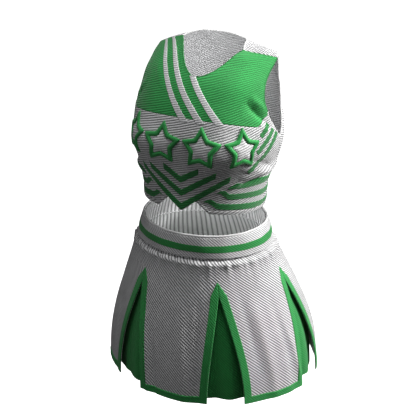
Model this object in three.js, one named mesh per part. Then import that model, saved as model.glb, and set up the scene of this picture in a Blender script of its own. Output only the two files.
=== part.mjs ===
// A two-piece cheer uniform: a sleeveless crop shell above a pleated skirt.
// Millimetres, +Z up, front towards -Y, the wearer's left towards +X.
// The origin is under the middle of the skirt, at the height of its hem.
import * as THREE from 'three';

// ---- skirt sizes ------------------------------------------------------------
const waist = { halfWidth: 128, halfDepth: 112 };          // top of the waistband
const bandFoot = { halfWidth: 140, halfDepth: 117 };       // bottom of the waistband
const hemRing = { halfWidth: 222, halfDepth: 202 };
const backSweep = 41;             // how far the hem ring lies behind the waist ring
const skirtLength = 355;          // hem to the top of the waistband
const bandHeight = 48;
const bandThickness = 2.5;
const pipingHeight = 3.2;
const braidHeight = 15;           // green stripe on the waistband
const braidDrop = 20;             // from the top of the waistband to that stripe
const elastic = { height: 36, thickness: 1.8 };
const facing = { drop: 130, thickness: 1.5, lean: 0.15 };  // lining that hangs inside the waistband
const yokeHeight = 45;            // gathered yoke between waistband and pleats
const pleatCount = 6;
const insertHalf = 10;            // degrees of green that shows at the hem, each side
const openingDrop = 29;           // seam of the yoke to the top of each opening
const insertSpace = 3;            // degrees from an insert's edge to the middle of a panel
const insertDrop = 4;             // seam of the yoke to the inserts' top edge
const insertRise = 6;             // the inserts' hem is this much above the panels'
const pleatDepth = { top: 4, hem: 12 };                  // panel face to insert face
const trimWidth = 16;

// ---- shell sizes ------------------------------------------------------------
// Levels of the shell are measured up from the top of the skirt. The rings go from the
// hem to the ridge of the shoulders, and their side and middle heights differ where the
// shoulders slope. y is measured from the waist's axis.
const rings = [
  // level, halfWidth, frontY, sideY, backY, frontZ, sideZ, backZ
  [50, 126, -107, 0, 105, 50, 50, 50],
  [85, 130, -107, 2, 102, 85, 85, 85],
  [125, 143, -109, 5, 108, 125, 125, 125],
  [170, 154, -114, 6, 118, 170, 170, 170],
  [215, 151, -112, 6, 126, 215, 213, 215],
  [260, 143, -98, 10, 126, 259, 255, 259],
  [310, 137, -68, 22, 108, 305, 295, 307],
  [385, 130, 12, 50, 62, 367, 335, 373],
  [405, 129, 30, 57, 30, 381, 343, 381],
];
const ridge = rings.at(-1)[0];
const bust = { height: 13, angle: 33, spread: 20, level: 175, rise: 40 };
const droop = { depth: 10, from: 345 };                    // the right shoulder hangs lower
const dip = { depth: 11, from: 360 };                      // the left one dips beside the neck
const lean = { shift: 5, from: 115, to: 205 };             // the chest sits to the wearer's left
const shoulderSeam = { left: 385, right: 402 };            // levels where the yokes meet the back
const hem = { side: 35, tip: 46, notch: 70, notchAngle: 13.5, lobe: 45, lobeAngle: 26 };
const neck = { front: 316, halfAngle: 32.5, back: 373, rightCurve: 1.5, leftCurve: 2.1 };
const scoopCurve = { right: 2, left: 4 };                  // how late the back's neckline rises
const armhole = { bottom: 191, middle: 300, frontHalf: 21.5, backHalf: 17, shoulderHalf: 9 };
const yokeEdge = { centre: 241, fall: 0.004 };             // top of the white chest
const slant = 0.355;              // degrees that a braid moves for each mm it drops
const braids = [-1, 12, 26.5];    // degrees from centre front at the yoke's edge
const braidWidth = { top: 8.5, foot: 12.5 };
const chevron = { width: 14.5, slope: 0.66 };
const chevrons = [                // apex level and half width of each V
  { apex: 107, reach: 36 },
  { apex: 78, reach: 70 },
  { apex: 49, reach: 100 },
];
const stripeWidth = 12;
const stripeSteps = 44;
const stripes = [                 // start, bend and side points: [degrees, level]
  { start: [45, 113], bend: [52, 106], side: 100 },
  { start: [35, 96], bend: [43, 82], side: 74 },
  { start: [24, 76], bend: [33, 62], side: 49 },
];
const armStripes = [              // curved stripes under the arm: [degrees, level]
  [[74.5, 222], [70, 215], [65.5, 206]],
  [[78.5, 208], [72, 194], [62.5, 177]],
  [[83, 193], [74, 173], [57, 142]],
];
const star = { count: 4, radius: 39.5, waist: 0.56, stretch: 1.17, border: 14, level: 186 };
const starSpace = 0.9;            // between the points of neighbouring stars

// ---- cloth and fits -----------------------------------------------------------
const cloth = 2;                  // thickness of a body panel
const applied = 1.5;              // thickness of a stripe sewn on
const raised = 3.2;               // thickness of the stars' border
const gap = 0.3;                  // clearance between pieces that meet edge to edge
const layGap = 1.1;               // clearance under a piece laid on curved cloth
const edgeGap = 1.4;              // clearance between an edge and its binding
const binding = { width: 4, thickness: 4 };
const mmPerDegree = 2.45;         // along the shell, at the chest
const probe = 0.05;               // step used to measure a surface's slope

const colours = { white: 0xdedede, green: 0x2f9e4f, elasticWhite: 0xf2f2ee };

const rad = THREE.MathUtils.degToRad;
const lerp = THREE.MathUtils.lerp;
const clamp = THREE.MathUtils.clamp;
const smoothstep = THREE.MathUtils.smoothstep;

// ---- surfaces -----------------------------------------------------------------
// Every piece of cloth lies on one of two surfaces. A point is given by its angle
// from centre front (positive towards the wearer's left), its level, and its
// distance outside the surface.

function ringValues(level) {
  const last = rings.length - 1;
  let i = rings.findIndex((ring) => ring[0] > level) - 1;
  if (i < 0) i = level < rings[0][0] ? 0 : last - 1;
  const step = (k) => rings[k + 1][0] - rings[k][0];
  const slope = (k, n) => (rings[k + 1][n] - rings[k][n]) / step(k);
  const tangent = (k, n) => {
    if (k === 0) return slope(0, n);
    if (k === last) return slope(last - 1, n);
    return (slope(k, n) * step(k) + slope(k - 1, n) * step(k - 1)) / (step(k) + step(k - 1));
  };
  const h = step(i);
  const t = (level - rings[i][0]) / h;
  return rings[i].map((value, n) => {
    const rise = 3 * t * t - 2 * t * t * t;
    return lerp(value, rings[i + 1][n], rise)
      + (t * t * t - 2 * t * t + t) * h * tangent(i, n) + (t * t * t - t * t) * h * tangent(i + 1, n);
  });
}

function shellSurface(angle, level) {
  const [, halfWidth, frontY, sideY, backY, frontZ, sideZ, backZ] = ringValues(level);
  const forward = Math.cos(rad(angle));
  const sideways = Math.sin(rad(angle));
  const endY = forward >= 0 ? frontY : backY;
  const endZ = forward >= 0 ? frontZ : backZ;
  const swell = bust.height * Math.exp(-(((Math.abs(angle) - bust.angle) / bust.spread) ** 2))
    * Math.exp(-(((level - bust.level) / bust.rise) ** 2));
  const beside = smoothstep(sideways, 0.1, 0.5) - 1.3 * smoothstep(sideways, 0.6, 1);
  const sag = droop.depth * smoothstep(level, droop.from, ridge) * smoothstep(-sideways, 0, 0.6)
    + dip.depth * smoothstep(level, dip.from, ridge) * beside;
  return new THREE.Vector3(
    (halfWidth + swell) * sideways + lean.shift * smoothstep(level, lean.from, lean.to),
    lerp(sideY, endY, Math.abs(forward)) - swell * forward - backSweep,
    skirtLength + lerp(sideZ, endZ, forward * forward) - sag,
  );
}

function skirtRing(z) {
  const foot = skirtLength - bandHeight;
  if (z >= foot) {
    const t = (z - foot) / bandHeight;
    return [lerp(bandFoot.halfWidth, waist.halfWidth, t), lerp(bandFoot.halfDepth, waist.halfDepth, t), 0];
  }
  const flare = Math.sin((Math.PI / 2) * ((foot - z) / foot));
  return [
    lerp(bandFoot.halfWidth, hemRing.halfWidth, flare),
    lerp(bandFoot.halfDepth, hemRing.halfDepth, flare),
    backSweep * flare,
  ];
}

function skirtSurface(angle, z) {
  const [halfWidth, halfDepth, back] = skirtRing(z);
  return new THREE.Vector3(
    halfWidth * Math.sin(rad(angle)),
    back - halfDepth * Math.cos(rad(angle)) - backSweep,
    z,
  );
}

// A point at a distance outside a surface, along its outward normal.
function outside(surface, angle, level, distance) {
  const alongAngle = surface(angle + probe, level).sub(surface(angle - probe, level));
  const alongLevel = surface(angle, level + probe).sub(surface(angle, level - probe));
  const normal = alongAngle.cross(alongLevel).normalize();
  return surface(angle, level).addScaledVector(normal, distance);
}

const onShell = (angle, level, distance) => outside(shellSurface, angle, level, distance);

// The skirt's offsets stay level, so that its hem and its seams are flat faces.
function onSkirt(angle, z, distance) {
  const point = skirtSurface(angle, z);
  const tangent = skirtSurface(angle + probe, z).sub(skirtSurface(angle - probe, z));
  return point.addScaledVector(new THREE.Vector3(tangent.y, -tangent.x, 0).normalize(), distance);
}

// The back goes up over the ridge of the shoulders and down to the shoulder seam.
function onBack(side, climb, distance) {
  if (climb <= ridge) return onShell(180 - side, climb, distance);
  return onShell(side, 2 * ridge - climb, distance);
}

// ---- solids -------------------------------------------------------------------

function solid(points, triangles) {
  let volume = 0;
  for (const [a, b, c] of triangles) {
    volume += points[a].dot(new THREE.Vector3().crossVectors(points[b], points[c]));
  }
  const faces = volume > 0 ? triangles : triangles.map(([a, b, c]) => [a, c, b]);
  const geometry = new THREE.BufferGeometry();
  geometry.setAttribute('position', new THREE.Float32BufferAttribute(points.flatMap((p) => p.toArray()), 3));
  geometry.setIndex(faces.flat());
  geometry.computeVertexNormals();
  return geometry;
}

// A piece of cloth: place(s, t, distance) gives its points for s and t from 0 to 1,
// and the piece fills the space between the inner and the outer distance.
function clothPiece(place, across, up, inner, outer, closed = false) {
  const columns = closed ? across : across + 1;
  const points = [];
  for (const distance of [outer, inner]) {
    for (let i = 0; i < columns; i += 1) {
      for (let j = 0; j <= up; j += 1) points.push(place(i / across, j / up, distance));
    }
  }
  const half = points.length / 2;
  const at = (i, j, under) => (i % columns) * (up + 1) + j + (under ? half : 0);
  const triangles = [];
  const quad = (a, b, c, d) => triangles.push([a, b, c], [a, c, d]);
  for (let i = 0; i < across; i += 1) {
    for (let j = 0; j < up; j += 1) {
      quad(at(i, j, 0), at(i + 1, j, 0), at(i + 1, j + 1, 0), at(i, j + 1, 0));
      quad(at(i, j, 1), at(i, j + 1, 1), at(i + 1, j + 1, 1), at(i + 1, j, 1));
    }
    quad(at(i, 0, 1), at(i + 1, 0, 1), at(i + 1, 0, 0), at(i, 0, 0));
    quad(at(i, up, 0), at(i + 1, up, 0), at(i + 1, up, 1), at(i, up, 1));
  }
  for (let j = 0; j < up && !closed; j += 1) {
    quad(at(0, j, 0), at(0, j + 1, 0), at(0, j + 1, 1), at(0, j, 1));
    quad(at(across, j, 1), at(across, j + 1, 1), at(across, j + 1, 0), at(across, j, 0));
  }
  return solid(points, triangles);
}

// A binding along a closed edge. edge(turn) gives the edge's point and the cloth's
// normal, and way is 1 or -1: the side of the edge that has no cloth.
function bindingAlong(edge, steps, way) {
  const spots = Array.from({ length: steps }, (_, k) => edge(k / steps));
  const lower = (cloth - binding.thickness) / 2;
  const upper = lower + binding.thickness;
  const near = way * edgeGap;
  const far = way * (edgeGap + binding.width);
  const corners = [[near, lower], [far, lower], [far, upper], [near, upper]];
  const points = [];
  spots.forEach(({ point, normal }, k) => {
    const before = spots[(k + steps - 1) % steps].point;
    const after = spots[(k + 1) % steps].point;
    const outward = after.clone().sub(before).cross(normal).normalize();
    for (const [out, off] of corners) {
      points.push(point.clone().addScaledVector(outward, out).addScaledVector(normal, off));
    }
  });
  const triangles = [];
  for (let k = 0; k < steps; k += 1) {
    for (let c = 0; c < 4; c += 1) {
      const here = k * 4;
      const next = ((k + 1) % steps) * 4;
      const other = (c + 1) % 4;
      triangles.push([here + c, next + c, next + other], [here + c, next + other, here + other]);
    }
  }
  return solid(points, triangles);
}

// ---- outlines of the shell ------------------------------------------------------

function hemLevel(angle) {
  const a = Math.abs(angle);
  if (a <= hem.notchAngle) return lerp(hem.tip, hem.notch, a / hem.notchAngle);
  if (a <= hem.lobeAngle) {
    return lerp(hem.notch, hem.lobe, (a - hem.notchAngle) / (hem.lobeAngle - hem.notchAngle));
  }
  return lerp(hem.lobe, hem.side, clamp((a - hem.lobeAngle) / (90 - hem.lobeAngle), 0, 1));
}

// How far the armhole's edge is from the side, in degrees: a parabola below the middle.
function armholeHalf(level, widest, top) {
  if (level <= armhole.bottom) return 0;
  const t = (level - armhole.middle) / (armhole.middle - armhole.bottom);
  if (t < 0) return widest * (1 - t * t);
  const above = (level - armhole.middle) / (top - armhole.middle);
  return lerp(widest, armhole.shoulderHalf, above * above);
}

// side is positive on the wearer's left and negative on the right.
const seamLevel = (side) => (side < 0 ? shoulderSeam.right : shoulderSeam.left);
const backTop = (side) => 2 * ridge - seamLevel(side);
const frontSide = (level, side) => 90 - armholeHalf(level, armhole.frontHalf, seamLevel(side));
const backSide = (climb, side) => 90 - armholeHalf(climb, armhole.backHalf, backTop(side));
const yokeLevel = (angle) => yokeEdge.centre - yokeEdge.fall * angle * angle;
const braidAngle = (index, level) => braids[index] - slant * (level - yokeEdge.centre);

// The armhole's lower edge, as a level over an angle.
function armholeFloor(angle) {
  const h = (90 - Math.abs(angle)) / armhole.frontHalf;
  return h >= 1 ? Infinity : armhole.middle - (armhole.middle - armhole.bottom) * Math.sqrt(1 - h);
}

// Where the neck's edge is: at centre front below the neck, then out to the shoulder seam.
function neckAngle(level, side) {
  const curve = side < 0 ? neck.rightCurve : neck.leftCurve;
  const t = clamp((level - neck.front) / (seamLevel(side) - neck.front), 0, 1);
  return neck.halfAngle * t ** (1 / curve);
}

// The back's top edge: its neck scoop between the two shoulder seams. across runs
// from -1 to 1 between the armholes.
const scoop = neck.halfAngle / (90 - armhole.shoulderHalf);
function backEdge(across) {
  const curve = across < 0 ? scoopCurve.right : scoopCurve.left;
  return lerp(neck.back, backTop(across) - gap, Math.min(1, Math.abs(across) / scoop) ** curve);
}

const gapAngle = gap / mmPerDegree;

// ---- shell pieces ----------------------------------------------------------------

function shellFront() {
  const side = 90 - gapAngle;
  const place = (s, t, distance) => {
    const angle = lerp(-side, side, s);
    const top = Math.min(yokeLevel(angle), armholeFloor(angle)) - gap;
    return onShell(angle, lerp(hemLevel(angle), top, t), distance);
  };
  return clothPiece(place, 36, 10, 0, cloth);
}

// The back's rows crowd together where the armholes round off.
function shellBack() {
  const row = (t, top) => {
    if (t < 1 / 3) return lerp(hem.side, armhole.bottom, 3 * t);
    if (t > 2 / 3) return lerp(armhole.middle, top, 3 * t - 2);
    return armhole.middle - (armhole.middle - armhole.bottom) * Math.cos((3 * t - 1) * Math.PI / 2);
  };
  const place = (s, t, distance) => {
    const across = 2 * s - 1;
    const top = backTop(across);
    const share = (row(t, top) - hem.side) / (top - hem.side);
    const climb = lerp(hem.side, backEdge(across), share);
    return onBack(across * backSide(climb, across), climb, distance);
  };
  return clothPiece(place, 22, 18, 0, cloth);
}

// The two front yokes meet under the third braid, which starts at the neck's point.
function frontYoke(side) {
  const top = seamLevel(side);
  const seam = (level) => side * braidAngle(2, level);
  const row = (t) => (t < 0.5
    ? lerp(yokeEdge.centre, neck.front, 2 * t)
    : lerp(neck.front, top, (2 * t - 1) ** 2));
  const place = (s, t, distance) => {
    const share = (row(t) - yokeEdge.centre) / (top - yokeEdge.centre);
    let level = row(t);
    let angle = 0;
    for (let pass = 0; pass < 5; pass += 1) {
      const throat = level < neck.front ? -Infinity : neckAngle(level, side);
      const inner = Math.max(seam(level), throat) + gapAngle;
      angle = side * lerp(inner, frontSide(level, side), s);
      level = lerp(yokeLevel(angle), top, share);
    }
    return onShell(angle, level, distance);
  };
  return clothPiece(place, 8, 12, 0, cloth);
}

function braid(index) {
  const foot = yokeEdge.centre - gap;
  const top = index === 2 ? neck.front - 6 : shoulderSeam.right - gap;
  const stretch = Math.hypot(1, slant * mmPerDegree);        // a slanted band cut level is wider
  const place = (s, t, distance) => {
    const level = lerp(foot, top, t);
    const width = lerp(braidWidth.foot, braidWidth.top, (level - foot) / (shoulderSeam.right - foot));
    const half = width / 2 / mmPerDegree * stretch;
    return onShell(braidAngle(index, level) + lerp(-half, half, s), level, distance);
  };
  return clothPiece(place, 2, index === 2 ? 5 : 10, cloth + layGap, cloth + layGap + applied);
}

function chevronBand({ apex, reach }) {
  const place = (s, t, distance) => {
    const x = lerp(-reach, reach, s);
    const level = apex + chevron.slope * Math.abs(x) + chevron.width * t;
    return onShell(x / mmPerDegree, level, distance);
  };
  return clothPiece(place, 2 * Math.round(reach / 14), 1, cloth + layGap, cloth + layGap + applied);
}

// A waist stripe starts slanted beside the chevrons and runs right round the back.
function waistStripe(course) {
  const { start, bend } = course;
  const ease = (angle, from, to) => clamp((angle - from) / (to - from), 0, 1);
  const level = (angle) => {
    if (angle < bend[0]) return lerp(start[1], bend[1], ease(angle, start[0], bend[0]));
    return lerp(bend[1], course.side, ease(angle, bend[0], 90));
  };
  const place = (s, t, distance) => {
    const across = 2 * s - 1;                  // -1 and 1 are the two slanted ends
    const up = (t - 0.5) * stripeWidth;
    const end = start[0] + up / chevron.slope / mmPerDegree;
    const corner = bend[0] + up / 4 / mmPerDegree;
    const turn = Math.abs(across);
    const bent = 1 - 2 / stripeSteps;          // the bend is one step from the end
    const fromBack = turn < bent
      ? lerp(0, 180 - corner, turn / bent)
      : lerp(180 - corner, 180 - end, (turn - bent) / (1 - bent));
    const side = across < 0 ? -1 : 1;
    const angle = side * (180 - fromBack);
    return onShell(angle, level(180 - fromBack) + up, distance);
  };
  return clothPiece(place, stripeSteps, 1, cloth + layGap, cloth + layGap + applied);
}

function armStripe(course, side) {
  const [from, through, to] = course.map(([angle, level]) => new THREE.Vector2(angle * mmPerDegree, level));
  const curve = new THREE.QuadraticBezierCurve(from, through, to);
  const place = (s, t, distance) => {
    const spot = curve.getPoint(s);
    const along = curve.getTangent(s);
    spot.add(new THREE.Vector2(-along.y, along.x).multiplyScalar((t - 0.5) * stripeWidth * 0.85));
    return onShell(side * spot.x / mmPerDegree, spot.y, distance);
  };
  return clothPiece(place, 5, 1, cloth + layGap, cloth + layGap + applied);
}

// ---- stars on the chest ------------------------------------------------------------

// Ten corners of a star, each side halved so that it follows the chest.
function starOutline(radius) {
  const corner = (k) => {
    const reach = k % 2 ? radius * star.waist : radius;
    return new THREE.Vector2(reach * Math.sin(k * Math.PI / 5), reach * star.stretch * Math.cos(k * Math.PI / 5));
  };
  return Array.from({ length: 20 }, (_, k) => corner(Math.floor(k / 2)).lerp(corner(Math.ceil(k / 2) % 10), 0.5));
}

function starPlace(index) {
  const starPitch = 2 * star.radius * Math.sin(2 * Math.PI / 5) + starSpace;
  const angle = (index - (star.count - 1) / 2) * starPitch / mmPerDegree;
  return (spot, distance) => onShell(angle + spot.x / mmPerDegree, star.level + spot.y, distance);
}

function starBorder(index) {
  const outline = starOutline(star.radius);
  const window = starOutline(star.radius - star.border - gap);
  const put = starPlace(index);
  const place = (s, t, distance) => {
    const k = Math.round(s * outline.length) % outline.length;
    return put(outline[k].clone().lerp(window[k], t), distance);
  };
  return clothPiece(place, outline.length, 1, cloth + layGap, cloth + layGap + raised, true);
}

function starFill(index) {
  const outline = starOutline(star.radius - star.border - 2 * gap);
  const put = starPlace(index);
  const n = outline.length;
  const points = [];
  for (const distance of [cloth + layGap + applied, cloth + layGap]) {
    for (const spot of outline) points.push(put(spot, distance));
    for (const spot of outline) points.push(put(spot.clone().multiplyScalar(0.5), distance));
    points.push(put(new THREE.Vector2(), distance));
  }
  const under = 2 * n + 1;
  const triangles = [];
  const quad = (a, b, c, d) => triangles.push([a, b, c], [a, c, d]);
  for (let k = 0; k < n; k += 1) {
    const next = (k + 1) % n;
    quad(k, k + n, next + n, next);
    triangles.push([k + n, 2 * n, next + n]);
    quad(under + k, under + next, under + next + n, under + k + n);
    triangles.push([under + k + n, under + next + n, under + 2 * n]);
    quad(k, next, under + next, under + k);
  }
  return solid(points, triangles);
}

// ---- bindings -----------------------------------------------------------------------

function edgeSpot(put, angle, level) {
  const point = put(angle, level, 0);
  return { point, normal: put(angle, level, 1).sub(point) };
}

function neckBinding() {
  const frontPart = (t, side) => {
    const curve = side < 0 ? neck.rightCurve : neck.leftCurve;
    return edgeSpot(onShell, side * t * neck.halfAngle, lerp(neck.front, seamLevel(side), t ** curve));
  };
  const backPart = (t) => {
    const across = lerp(scoop, -scoop, t);
    const climb = backEdge(across);
    return edgeSpot(onBack, across * backSide(climb, across), climb);
  };
  const edge = (turn) => {
    if (turn < 0.28) return frontPart(turn / 0.28, 1);
    if (turn < 0.72) return backPart((turn - 0.28) / 0.44);
    return frontPart((1 - turn) / 0.28, -1);
  };
  return bindingAlong(edge, 44, -1);
}

function armholeBinding(side) {
  const foot = armhole.middle - armhole.bottom;
  const lowPart = (turn, half, put) => {
    const level = armhole.middle - foot * Math.cos(turn * Math.PI / 2);
    return edgeSpot(put, side * (90 - half * Math.sin(turn * Math.PI / 2) ** 2), level);
  };
  const front = (t) => {
    if (t < 0.5) return lowPart(t * 2, armhole.frontHalf, onShell);
    const level = lerp(armhole.middle, seamLevel(side), t * 2 - 1);
    return edgeSpot(onShell, side * frontSide(level, side), level);
  };
  const back = (t) => {
    if (t < 0.5) return lowPart(t * 2, armhole.backHalf, onBack);
    const climb = lerp(armhole.middle, backTop(side), t * 2 - 1);
    return edgeSpot(onBack, side * backSide(climb, side), climb);
  };
  const edge = (turn) => (turn < 0.48 ? front(turn / 0.48) : back((1 - turn) / 0.52));
  return bindingAlong(edge, 36, side);
}

// ---- skirt ---------------------------------------------------------------------------

const pleatTop = skirtLength - bandHeight - yokeHeight;    // where the pleats open
const pitch = 360 / pleatCount;

// A band right round the skirt, with a row of points at each of its levels.
function ring(levels, inner, outer) {
  const rows = levels.length - 1;
  const place = (s, t, distance) => onSkirt(360 * s, levels[Math.round(t * rows)], distance);
  return clothPiece(place, 48, rows, inner, outer, true);
}

// The facing lies inside the elastic, and hangs straighter than the skirt below it.
function waistFacing(top, outer) {
  const foot = skirtLength - bandHeight;
  const levels = [skirtLength - facing.drop, pleatTop, foot, top];
  const place = (s, t, distance) => {
    const z = levels[Math.round(t * (levels.length - 1))];
    return onSkirt(360 * s, z, distance - facing.lean * Math.max(0, foot - z));
  };
  return clothPiece(place, 48, levels.length - 1, outer - facing.thickness, outer, true);
}

function degreesFor(length, z) {
  const [halfWidth, halfDepth] = skirtRing(z);
  return THREE.MathUtils.radToDeg((2 * length) / (halfWidth + halfDepth));
}

// Half of a panel's width in degrees: whole at the yoke, less the insert below the
// top of the opening.
const openingTop = pleatTop - openingDrop;
function panelHalf(z) {
  const drop = clamp((openingTop - z) / openingTop, 0, 1);
  return pitch / 2 - insertHalf * (1 - (1 - drop) ** 1.7) - degreesFor(gap, z);
}

function panel(middle) {
  const place = (s, t, distance) => {
    const z = lerp(pleatTop - gap, 0, t);
    const half = panelHalf(z);
    return onSkirt(middle + lerp(-half, half, s), z, distance);
  };
  return clothPiece(place, 8, 7, 0, cloth);
}

// The trim goes down one side of a panel, along its hem and up the other side. It
// widens from a point at the yoke's seam to its whole width at the opening.
function panelTrim(middle) {
  const top = pleatTop - insertDrop;
  const place = (s, t, distance) => {
    const part = Math.min(Math.floor(s * 3), 2);
    const along = s * 3 - part;
    const descent = part === 0 ? along : 1 - along;
    const z = part === 1 ? trimWidth * t : lerp(top, trimWidth * t, descent);
    const width = trimWidth * clamp((pleatTop - z) / openingDrop, 0, 1);
    const half = panelHalf(z) - degreesFor(width * t, z);
    const across = part === 1 ? 2 * along - 1 : part - 1;
    return onSkirt(middle + half * across, z, distance);
  };
  return clothPiece(place, 21, 1, cloth + layGap, cloth + layGap + applied);
}

function insert(middle) {
  const half = pitch / 2 - insertSpace;
  const place = (s, t, distance) => {
    const z = lerp(pleatTop - insertDrop, insertRise, t);
    const depth = lerp(pleatDepth.top, pleatDepth.hem, Math.sqrt((pleatTop - z) / pleatTop));
    return onSkirt(middle + lerp(-half, half, s), z, distance - depth);
  };
  return clothPiece(place, 8, 6, -cloth, 0);
}

// ---- the uniform ----------------------------------------------------------------------

function material(colour, roughness) {
  return new THREE.MeshStandardMaterial({ color: colour, roughness, metalness: 0 });
}

const whiteKnit = material(colours.white, 0.85);
const greenKnit = material(colours.green, 0.8);
const greenTrim = material(colours.green, 0.65);
const elasticWeb = material(colours.elasticWhite, 0.9);

const uniform = new THREE.Group();
const shell = new THREE.Group();
const skirt = new THREE.Group();
uniform.add(shell, skirt);

function add(group, name, geometry, cover) {
  const mesh = new THREE.Mesh(geometry, cover);
  mesh.name = name;
  group.add(mesh);
}

add(shell, 'shell_front', shellFront(), whiteKnit);
add(shell, 'shell_back', shellBack(), whiteKnit);
add(shell, 'front_yoke_right', frontYoke(-1), greenKnit);
add(shell, 'front_yoke_left', frontYoke(1), greenKnit);
braids.forEach((_, i) => add(shell, `braid_${i + 1}`, braid(i), whiteKnit));
chevrons.forEach((size, i) => add(shell, `chevron_${i + 1}`, chevronBand(size), greenTrim));
stripes.forEach((size, i) => add(shell, `waist_stripe_${i + 1}`, waistStripe(size), greenTrim));
armStripes.forEach((course, i) => {
  add(shell, `arm_stripe_left_${i + 1}`, armStripe(course, 1), greenTrim);
  add(shell, `arm_stripe_right_${i + 1}`, armStripe(course, -1), greenTrim);
});
for (let i = 0; i < star.count; i += 1) {
  add(shell, `star_border_${i + 1}`, starBorder(i), greenTrim);
  add(shell, `star_fill_${i + 1}`, starFill(i), whiteKnit);
}
add(shell, 'neck_binding', neckBinding(), whiteKnit);
add(shell, 'armhole_binding_left', armholeBinding(1), whiteKnit);
add(shell, 'armhole_binding_right', armholeBinding(-1), whiteKnit);

const bandFootZ = skirtLength - bandHeight;
const bandTopZ = skirtLength - pipingHeight - gap;
const stripeTopZ = skirtLength - braidDrop;
const elasticZ = bandFootZ + (bandHeight - elastic.height) / 2;
const stripeInner = bandThickness + gap;
const elasticInner = -gap - elastic.thickness;
add(skirt, 'waistband', ring([bandFootZ, bandTopZ], 0, bandThickness), whiteKnit);
add(skirt, 'waistband_piping', ring([bandTopZ + gap, skirtLength], 0, bandThickness), whiteKnit);
add(skirt, 'waistband_stripe',
  ring([stripeTopZ - braidHeight, stripeTopZ], stripeInner, stripeInner + applied), greenTrim);
add(skirt, 'waist_elastic', ring([elasticZ, elasticZ + elastic.height], elasticInner, -gap), elasticWeb);
add(skirt, 'waist_facing', waistFacing(bandTopZ, elasticInner - gap), whiteKnit);
add(skirt, 'yoke', ring([pleatTop, (pleatTop + bandFootZ) / 2, bandFootZ - gap], 0, cloth), whiteKnit);
for (let i = 0; i < pleatCount; i += 1) {
  add(skirt, `panel_${i + 1}`, panel(i * pitch), whiteKnit);
  add(skirt, `panel_trim_${i + 1}`, panelTrim(i * pitch), greenTrim);
  add(skirt, `insert_${i + 1}`, insert((i + 0.5) * pitch), greenKnit);
}

export default uniform;
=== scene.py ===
import bpy
import numpy as np
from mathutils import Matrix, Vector


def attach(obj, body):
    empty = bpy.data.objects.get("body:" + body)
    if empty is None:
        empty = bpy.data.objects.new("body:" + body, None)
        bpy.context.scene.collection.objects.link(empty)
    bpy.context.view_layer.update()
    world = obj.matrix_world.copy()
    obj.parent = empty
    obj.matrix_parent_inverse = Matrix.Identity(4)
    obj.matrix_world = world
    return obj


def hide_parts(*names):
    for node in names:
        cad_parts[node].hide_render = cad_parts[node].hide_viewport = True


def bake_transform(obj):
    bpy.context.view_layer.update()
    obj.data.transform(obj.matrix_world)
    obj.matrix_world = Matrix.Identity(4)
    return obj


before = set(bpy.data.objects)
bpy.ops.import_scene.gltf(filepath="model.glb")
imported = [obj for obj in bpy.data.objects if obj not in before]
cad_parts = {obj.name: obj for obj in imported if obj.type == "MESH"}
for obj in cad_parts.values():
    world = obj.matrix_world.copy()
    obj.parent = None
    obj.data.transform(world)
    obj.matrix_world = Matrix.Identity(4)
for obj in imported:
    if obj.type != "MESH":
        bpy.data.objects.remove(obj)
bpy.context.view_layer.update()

mm = 0.001

# The patterns below are in millimetres. A point of the cloth is an angle from centre front,
# positive towards the wearer's left, and a level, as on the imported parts.
skirtShape = {
    "foot": (140, 117),          # half width and depth at the bottom of the waistband
    "waist": (128, 112),         # the same at its top
    "hem": (222, 202),
    "sweep": 41,                 # the hem ring lies this far behind the waist ring
    "length": 355,
    "band": 48,
    "yoke": 45,
}
footZ = skirtShape["length"] - skirtShape["band"]
pleatTop = footZ - skirtShape["yoke"]

# level, half width, front y, side y, back y, front z, side z, back z
shellRings = np.array([
    [405, 126, -107, 0, 105, 405, 405, 405],
    [440, 130, -107, 2, 102, 440, 440, 440],
    [480, 143, -109, 5, 108, 480, 480, 480],
    [525, 154, -114, 6, 118, 525, 525, 525],
    [570, 151, -112, 6, 126, 570, 568, 570],
    [615, 143, -98, 10, 126, 614, 610, 614],
    [665, 137, -68, 22, 108, 660, 650, 662],
    [740, 130, 12, 50, 62, 722, 690, 728],
    [760, 129, 30, 57, 30, 736, 698, 736],
], float)
ridge = shellRings[-1, 0]
shoulderSeam = {"left": 740, "right": 757}   # levels where the front yokes meet the back
droop = {"depth": 10, "from": 700}           # the right shoulder hangs lower
dip = {"depth": 14, "from": 715}             # the left one dips beside the neck
lean = {"shift": 5, "from": 470, "to": 560}  # the chest sits to the wearer's left
perDegree = 2.45                 # mm along the shell for each degree round it
clothThick = 2
bust = {"height": 13, "angle": 33, "spread": 20, "level": 530, "rise": 40}


def smooth(x, low, high):
    t = np.clip((x - low) / (high - low), 0, 1)
    return t * t * (3 - 2 * t)


def ringTangents():
    steps = np.diff(shellRings[:, 0])[:, None]
    slopes = np.diff(shellRings, axis=0) / steps
    inner = (slopes[1:] * steps[1:] + slopes[:-1] * steps[:-1]) / (steps[1:] + steps[:-1])
    return np.vstack([slopes[:1], inner, slopes[-1:]])


ringSlopes = ringTangents()


def ringValues(level):
    k = shellRings[:, 0]
    i = np.clip(np.searchsorted(k, level, side="right") - 1, 0, len(k) - 2)
    h = (k[i + 1] - k[i])[..., None]
    t = (level[..., None] - k[i][..., None]) / h
    rise = 3 * t ** 2 - 2 * t ** 3
    return (shellRings[i] * (1 - rise) + shellRings[i + 1] * rise
            + (t ** 3 - 2 * t ** 2 + t) * h * ringSlopes[i] + (t ** 3 - t ** 2) * h * ringSlopes[i + 1])


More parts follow.
